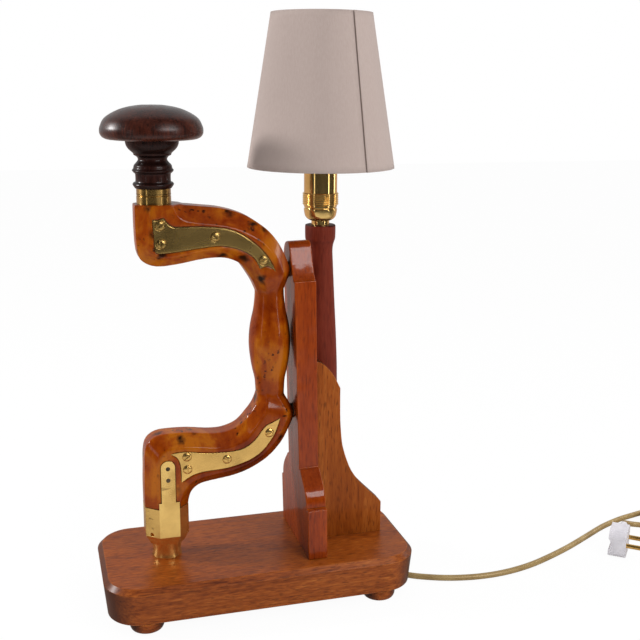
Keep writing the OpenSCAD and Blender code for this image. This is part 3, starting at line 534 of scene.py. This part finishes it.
def brass(name, bright, dull, rough, tarnish=0.5, scratch=0.2, swell=0.9, turned=0.0, edge=0.3):
    """Old brass: dull patches, dark nicks, fine scrapes, rounded edges, a slight swell and lathe marks."""
    s = Shader(name)
    cloud = s.noise(s.place, scale=45.0, detail=2.5, roughness=0.5, distortion=0.5)
    scrape = s.noise(s.stretched((0.06, 1.0, 1.0), (0, 24, 0)), scale=700.0, detail=1.0, roughness=0.5)
    cut = s.noise(s.stretched((0.1, 1.0, 1.0), (0, -32, 0)), scale=260.0, detail=1.0)
    knocked = s.span(s.noise(s.place, scale=60.0, detail=1.0), 0.5, 0.56, 0.0, scratch)
    nick = s.calc("MULTIPLY", s.span(cut, 0.65, 0.69), knocked)
    patch = s.span(cloud, 0.42, 0.7, 0.0, tarnish)
    s.set(color=s.mix(nick, s.mix(patch, bright, dull), BRASS_NICK), metal=0.92)
    polish = s.span(cloud, 0.3, 0.7, rough - 0.05, rough + 0.1)
    s.set(rough=s.calc("ADD", polish, s.span(scrape, 0.5, 0.75, 0.0, 0.03)))
    around = s.add("ShaderNodeTangent", direction_type="RADIAL", axis="Z")
    s.join(around.outputs["Tangent"], s.surface.inputs["Tangent"])
    s.set(drawn=turned, drawn_turn=0.25)
    wave = s.noise(s.place, scale=22.0, detail=1.0)
    s.bump(s.blend((wave, swell), (cloud, 0.003), (scrape, 0.002)), 1.0, 1.0, s.round_edges(edge))
    return s.material


def steel(name):
    """Dark old steel with rusty clouds."""
    s = Shader(name)
    cloud = s.noise(s.place, scale=160.0, detail=4.0)
    s.set(color=s.ramp(cloud, STEEL), rough=s.span(cloud, 0.3, 0.7, 0.28, 0.5), metal=1.0)
    s.bump(cloud, 0.05, 0.5)
    return s.material


def shade_cloth(name, dark, pale):
    """Fine cloth on card: crossed threads and a slow change of tone."""
    s = Shader(name)
    flat = s.coordinates["UV"]
    weave = s.calc("MULTIPLY", s.threads(flat, 0.0), s.threads(flat, 90.0))
    cloud = s.noise(s.place, scale=16.0, detail=3.0)
    slub = s.noise(s.stretched((1.0, 1.0, 0.2)), scale=1100.0, detail=2.0)
    tone = s.blend((weave, 0.5), (slub, 0.5))
    thread = s.ramp(tone, [(0.2, dark), (0.7, pale)])
    s.set(color=s.mix(s.span(cloud, 0.35, 0.65, 0.0, 0.3), thread, dark))
    s.set(rough=0.9, sheen=0.12, sheen_rough=0.5, specular=0.15)
    s.bump(tone, 0.08, 0.4)
    return s.material


def cord_sheath(name):
    """Gold cord with a slight metallic gloss."""
    s = Shader(name)
    fine = s.noise(s.place, scale=700.0, detail=3.0)
    cloud = s.noise(s.place, scale=60.0, detail=3.0)
    s.set(color=s.ramp(cloud, SHEATH), rough=s.span(fine, 0.3, 0.7, 0.34, 0.5))
    s.set(metal=0.2, coat=0.15, coat_rough=0.3)
    s.bump(fine, 0.06, 0.4)
    return s.material


def plastic(name, dark, pale, rough=0.4):
    """A fine, slightly clouded surface for moulded, painted and glazed pieces, and for leather."""
    s = Shader(name)
    fine = s.noise(s.place, scale=900.0, detail=2.0)
    cloud = s.noise(s.place, scale=90.0, detail=3.0)
    s.set(color=s.ramp(cloud, [(0.3, dark), (0.7, pale)]))
    s.set(rough=s.span(fine, 0.3, 0.7, rough - 0.06, rough + 0.08))
    s.bump(fine, 0.04, 0.4)
    return s.material


def frosted_glass(name):
    """Opal glass that lets a little light through."""
    s = Shader(name)
    fine = s.noise(s.place, scale=500.0, detail=2.0)
    s.set(color=s.ramp(fine, FROSTED), rough=s.span(fine, 0.3, 0.7, 0.3, 0.4), clear=0.12, ior=1.45)
    return s.material


board_wood = wood("board_wood", MAHOGANY, "X", rough=0.4, coat=0.28, coat_rough=0.3, pores=0.45,
                  pore_scale=1100.0, flecks=0.45, edge_wear_and_highlight=0.8, swell=0.2)
bracket_wood = wood("bracket_wood", MAHOGANY, "Z", rough=0.42, coat=0.1, pores=0.5, pore_scale=1000.0,
                    flecks=0.2, edge_wear_and_highlight=0.6)
upright_wood = wood("upright_wood", UPRIGHT, "Z", rough=0.3, coat=0.5, specular=0.05, pores=0.4,
                    end_grain=0.2, edge_wear_and_highlight=0.8, swell=0.8)
post_wood = wood("post_wood", POST, "Z", rough=0.5, coat=0.0, pores=0.3, specular=0.1)
neck_wood = wood("neck_wood", DARK_WOOD, "Z", rough=0.36, coat=0.15, pores=0.7)
cap_wood = wood("cap_wood", CAP_WOOD, "Z", rough=0.3, coat=0.5, coat_rough=0.32, pores=0.6, figure=60.0,
                end_grain=0.0)
dowel_wood = wood("dowel_wood", PALE_WOOD, "X", rough=0.5, coat=0.0)
stock_wood = burl_wood("stock_wood")
bright_brass = brass("bright_brass", linear(236, 190, 110), linear(196, 158, 88), rough=0.2, tarnish=0.7,
                     scratch=0.5, swell=2.5, edge=0.6)
chuck_brass = brass("chuck_brass", linear(246, 204, 122), linear(206, 162, 90), rough=0.2, tarnish=0.7,
                    scratch=0.6, swell=0.3, turned=0.5)
plate_brass = brass("plate_brass", linear(194, 160, 94), linear(176, 144, 84), rough=0.2, swell=4.0, edge=1.8)
dull_brass = brass("dull_brass", linear(176, 140, 78), linear(128, 98, 54), rough=0.26, tarnish=0.8,
                   scratch=0.3, turned=0.8)
holder_brass = brass("holder_brass", linear(228, 190, 118), linear(208, 170, 98), rough=0.09, tarnish=0.3,
                     swell=0.0)
dark_steel = steel("dark_steel")
taupe_cloth = shade_cloth("taupe_cloth", linear(170, 153, 146), linear(184, 168, 161))
# The card's cut rim, darker, which also paints the shadow line along the lapped seam
rim_and_seam_shadow = shade_cloth("rim_and_seam_shadow", linear(130, 114, 106), linear(146, 130, 122))
gold_sheath = cord_sheath("gold_sheath")
black_plastic = plastic("black_plastic", linear(22, 22, 22), linear(34, 33, 32))
white_plastic = plastic("white_plastic", linear(206, 202, 208), linear(224, 221, 226), 0.36)
wire_paint = plastic("wire_paint", linear(214, 210, 204), linear(228, 225, 220), 0.42)
porcelain = plastic("porcelain", linear(222, 218, 206), linear(236, 233, 224), 0.3)
packing_leather = plastic("packing_leather", linear(70, 44, 26), linear(98, 64, 40), 0.6)
bulb_white = frosted_glass("bulb_white")


# Camera and light

def make_camera():
    yaw, pitch, roll = (math.radians(a) for a in (CAMERA_YAW, CAMERA_PITCH, CAMERA_ROLL))
    ahead = Vector((math.sin(yaw) * math.cos(pitch), math.cos(yaw) * math.cos(pitch), -math.sin(pitch)))
    level = ahead.cross(UP).normalized()
    raised = level.cross(ahead)
    right = math.cos(roll) * level + math.sin(roll) * raised
    up = math.cos(roll) * raised - math.sin(roll) * level
    data = bpy.data.cameras.new("camera")
    data.sensor_fit = "HORIZONTAL"
    data.sensor_width = SENSOR_WIDTH
    data.lens = FOCAL_PIXELS / FRAME_PIXELS * SENSOR_WIDTH
    camera = placed("camera", data)
    turn = Matrix((right, up, -ahead)).transposed().to_4x4()
    camera.matrix_world = Matrix.Translation(MM * Vector(CAMERA_AT)) @ turn
    bpy.context.scene.camera = camera


def make_lamp(name, at, size, power):
    data = bpy.data.lights.new(name, "AREA")
    data.shape = "RECTANGLE"
    data.size, data.size_y = size
    data.energy = power
    lamp = placed(name, data)
    lamp.location = at
    lamp.rotation_euler = (LAMP_AIM - Vector(at)).to_track_quat("-Z", "Y").to_euler()


class Stage(Nodes):
    """A node tree of the studio, for the world or the floor, with the kinds of ray at hand."""

    def __init__(self, tree):
        super().__init__(tree)
        path = self.add("ShaderNodeLightPath").outputs
        self.camera_ray = path["Is Camera Ray"]
        mirror_ray = self.calc("MAXIMUM", path["Is Glossy Ray"], path["Is Transmission Ray"])
        self.seen_ray = self.calc("MAXIMUM", self.camera_ray, mirror_ray)

    def choose(self, factor, a, b, end):
        """Mix two shaders and join the mix to the tree's end."""
        node = self.add("ShaderNodeMixShader")
        self.join(factor, node.inputs["Fac"])
        self.join(a.outputs[0], node.inputs[1])
        self.join(b.outputs[0], node.inputs[2])
        self.join(node.outputs["Shader"], self.tree.nodes[end].inputs["Surface"])


def make_world():
    """Even light, a white view, and in mirrors a pale backdrop behind with a dark room in front."""
    world = bpy.data.worlds.new("studio")
    bpy.context.scene.world = world
    world.use_nodes = True
    world.cycles.sampling_method = "NONE"
    s = Stage(world.node_tree)
    ray = s.add("ShaderNodeTexCoord").outputs["Generated"]
    even = s.tree.nodes["Background"]
    even.inputs["Color"].default_value = WHITE
    s.join(s.span(s.part_of(ray, "Z"), *EVEN_RISE, *EVEN_LIGHT), even.inputs["Strength"])
    white = s.add("ShaderNodeBackground")
    white.inputs["Color"].default_value = WHITE
    mirrored = s.span(s.part_of(ray, "Y"), *BACKDROP_TURN, ROOM_LEVEL, BACKDROP_LEVEL)
    s.join(s.calc("MAXIMUM", s.camera_ray, mirrored), white.inputs["Strength"])
    s.choose(s.seen_ray, even, white, "World Output")


def floor_paper():
    """White for the camera with the object's shadow kept, and a shaded paper in mirrors."""
    material = bpy.data.materials.new("floor_white")
    material.use_nodes = True
    material.cycles.emission_sampling = "NONE"
    s = Stage(material.node_tree)
    s.tree.nodes.remove(s.tree.nodes["Principled BSDF"])
    spot = s.add("ShaderNodeTexCoord").outputs["Object"]
    ahead = s.part_of(spot, "Y")
    aside = s.calc("ABSOLUTE", s.part_of(spot, "X"))
    first, last = PAPER_COLOURS[0][0], PAPER_COLOURS[-1][0]
    stops = [((y - first) / (last - first), (*colour, 1.0)) for y, colour in PAPER_COLOURS]
    paper = s.ramp(s.span(ahead, first, last), stops)
    beside = s.calc("MULTIPLY", s.span(aside, *PAPER_SIDE), s.span(ahead, *PAPER_FRONT))
    mirrored = s.mix(beside, paper, times(ROOM_LEVEL, WHITE))
    matt = s.add("ShaderNodeBsdfDiffuse")
    matt.inputs["Color"].default_value = FLOOR_GREY
    glow = s.add("ShaderNodeEmission")
    s.join(s.mix(s.camera_ray, mirrored, WHITE), glow.inputs["Color"])
    s.choose(s.calc("MULTIPLY", s.seen_ray, FLOOR_WHITE), matt, glow, "Material Output")
    return material


def make_floor():
    bm = bmesh.new()
    bmesh.ops.create_grid(bm, x_segments=1, y_segments=1, size=FLOOR_HALF)
    floor = mesh_object("floor", bm, floor_paper())
    floor.location.z = -FLOOR_DROP


# Cord

def coil_dir(degrees):
    """Which way the coil's cord runs at an angle round it."""
    a = math.radians(degrees)
    return Vector((math.sin(a), -math.cos(a), 0.0))


def coil_points():
    """In towards the middle, up a layer where the spiral turns back, and out again."""
    turns = COIL_TURNS + (COIL_FROM - COIL_TO + 360) / 360
    steps = round(turns * STEPS_PER_TURN)
    points = []
    for i in range(steps + 1):
        t = i * turns / steps
        r = COIL_OUT_R - COIL_STEP * (turns / 2 - abs(t - turns / 2))
        z = COIL_LOW_Z + COIL_RISE * min(1.0, max(0.0, (t - turns / 2) * 2 + 0.5))
        a = math.radians(COIL_FROM - 360 * t)
        points.append(Vector((COIL_MID[0] + r * math.cos(a), COIL_MID[1] + r * math.sin(a), z)))
    return points


def cord_path():
    """The whole cord from the clip to the plug, in millimetres from the board's middle."""
    exit_point = Vector(CORD_EXIT)
    exit_dir = (exit_point - Vector((LAMP_AXIS.x, LAMP_AXIS.y - Y_MID, CORD_EXIT[2]))).normalized()
    coil = coil_points()
    in_dir, out_dir = coil_dir(COIL_FROM), coil_dir(COIL_TO)
    start = coil[0] - CORD_D * in_dir
    end = coil[-1] + CORD_D * out_dir
    a = math.radians(PLUG_TURN)
    plug_dir = Vector((-math.sin(a), math.cos(a), 0.0))
    entry = Vector(PLUG_AT) + (PLUG_W / 2 + RELIEF_L) * plug_dir
    lead = smooth([exit_point + CORD_D * exit_dir, *CORD_RUN, start - CORD_D * in_dir], CORD_STEPS)
    tail = smooth([end + CORD_D * out_dir, *TAIL_RUN, entry + CORD_D * plug_dir], CORD_STEPS)
    return [exit_point] + lead + [start] + coil + [end] + tail + [entry]


def tube(path, radius, sides):
    """A closed round tube along a path."""
    bm = bmesh.new()
    angles = [2 * math.pi * k / sides for k in range(sides)]
    rings = []
    for i, p in enumerate(path):
        ahead = (path[min(i + 1, len(path) - 1)] - path[max(i - 1, 0)]).normalized()
        side = ahead.cross(UP).normalized()
        up = side.cross(ahead)
        rings.append([bm.verts.new(p + radius * (math.cos(a) * side + math.sin(a) * up)) for a in angles])
    for low, high in zip(rings, rings[1:]):
        for k in range(sides):
            bm.faces.new((low[k], low[(k + 1) % sides], high[(k + 1) % sides], high[k]))
    bm.faces.new(rings[0])
    bm.faces.new(reversed(rings[-1]))
    bmesh.ops.recalc_face_normals(bm, faces=bm.faces)
    return bm


def make_cord():
    path = [MM * (p + Vector((0, Y_MID, 0))) for p in cord_path()]
    cord = new_piece("lamp_cord", "lamp", tube(path, 0.5 * CORD_D * MM, CORD_SIDES), gold_sheath)
    shade_by_angle(cord, TUBE_ANGLE)
    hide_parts("cord", "cord_coil", "cord_tail")


# Shade

def shade_point(turn, f):
    """A point of the sheet, some degrees round from its outer end and some share of the way up."""
    over = max(0.0, 1.0 - turn / SEAM_LAP)
    tucked = TUCK_IN if turn > TUCK_FROM else 0.0
    r = SHADE_LOW_R - SHADE_TAPER * f - SHADE_INSET + SEAM_RISE * over - tucked
    a = math.radians(SEAM_AT + turn)
    z = SHADE_LOW.z + SHADE_TALL * f
    return Vector((LAMP_AXIS.x + r * math.cos(a), LAMP_AXIS.y + r * math.sin(a), z))


def shade_mesh(width, slant):
    """The sheet as a grid of faces, with its flat size in metres as texture coordinates."""
    bm = bmesh.new()
    uv_layer = bm.loops.layers.uv.new("flat")
    turns = [(360.0 + SEAM_LAP) * i / SHADE_COLUMNS for i in range(SHADE_COLUMNS + 1)]
    grid = []
    for j in range(SHADE_ROWS + 1):
        grid.append([bm.verts.new(MM * shade_point(turn, j / SHADE_ROWS)) for turn in turns])
    for j in range(SHADE_ROWS):
        for i in range(SHADE_COLUMNS):
            corners = ((i, j), (i + 1, j), (i + 1, j + 1), (i, j + 1))
            face = bm.faces.new([grid[v][u] for u, v in corners])
            for loop, (u, v) in zip(face.loops, corners):
                loop[uv_layer].uv = (u / SHADE_COLUMNS * width, v / SHADE_ROWS * slant)
    return bm


def make_shade():
    """One sheet of cloth on card, rolled into a cone and lapped along a slanting seam."""
    slant = SHADE_SLANT * MM
    width = math.pi * (SHADE_LOW_R + SHADE_HIGH_R) * MM
    cover = new_piece("shade_sheet", "shade", shade_mesh(width, slant), taupe_cloth)
    # The rim gets the darker cloth, painting the shadow line along the seam
    cover.data.materials.append(rim_and_seam_shadow)
    shade_by_angle(cover, TUBE_ANGLE)
    thick = cover.modifiers.new("card", "SOLIDIFY")
    thick.thickness = SHADE_THICK * MM
    thick.offset = -1.0
    thick.material_offset_rim = 1
    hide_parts("shade_cover")


make_camera()
make_world()
make_floor()
for name, lamp in LAMPS.items():
    make_lamp(name, *lamp)
make_cord()
make_shade()

# Pieces in the shape of their CAD node, with the width of their softened edges in millimetres
DRESSED = {
    "board": (board_wood, 0.4), "bracket": (bracket_wood, 0.7), "upright": (upright_wood, 0.9),
    "post": (post_wood, 0.5), "feet": (board_wood, 0.0),
    "head_cap": (cap_wood, 0.0), "head_neck": (neck_wood, 0.0), "head_plug": (cap_wood, 0.2),
    "upper_plate_front": (plate_brass, 0.0), "upper_plate_back": (plate_brass, 0.0),
    "lower_plate_front": (bright_brass, 0.0), "lower_plate_back": (bright_brass, 0.0),
    "upper_plate_screws": (plate_brass, 0.0), "lower_plate_screws": (bright_brass, 0.0),
    "stock_collar": (dull_brass, 0.0), "head_ferrule": (dull_brass, 0.0),
    "holder_cap": (holder_brass, 0.0), "holder_ring": (holder_brass, 0.0),
    "holder_barrel": (holder_brass, 0.0),
}
for node, (material, edge) in DRESSED.items():
    dressed(node, material, edge)
dressed("chuck", chuck_brass, degrees=CHUCK_ANGLE)
worn("stock", stock_wood)

# CAD nodes that stay as they are
PAINTED = {
    "strap_rivets": dark_steel, "chuck_peg": dark_steel, "spindle": dark_steel, "base_screws": dark_steel,
    "brace_screws": dark_steel, "foot_screws": dark_steel, "clip_pins": dark_steel, "bulb_cap": dark_steel,
    "nipple": holder_brass, "nipple_nut": holder_brass, "screw_shell": holder_brass, "contact": holder_brass,
    "shade_ring_lower": holder_brass, "shade_ring_upper": holder_brass, "plug_pins": bright_brass,
    "bracket_dowels": dowel_wood, "packing_discs": packing_leather, "holder_insulator": porcelain,
    "bulb_glass": bulb_white, "shade_carrier": wire_paint, "shade_top_ring": wire_paint,
    "flex": gold_sheath, "cord_clip": black_plastic, "coil_tie": black_plastic, "plug": white_plastic,
}
for node, material in PAINTED.items():
    paint(node, material)

bpy.context.scene.view_settings.view_transform = "Standard"
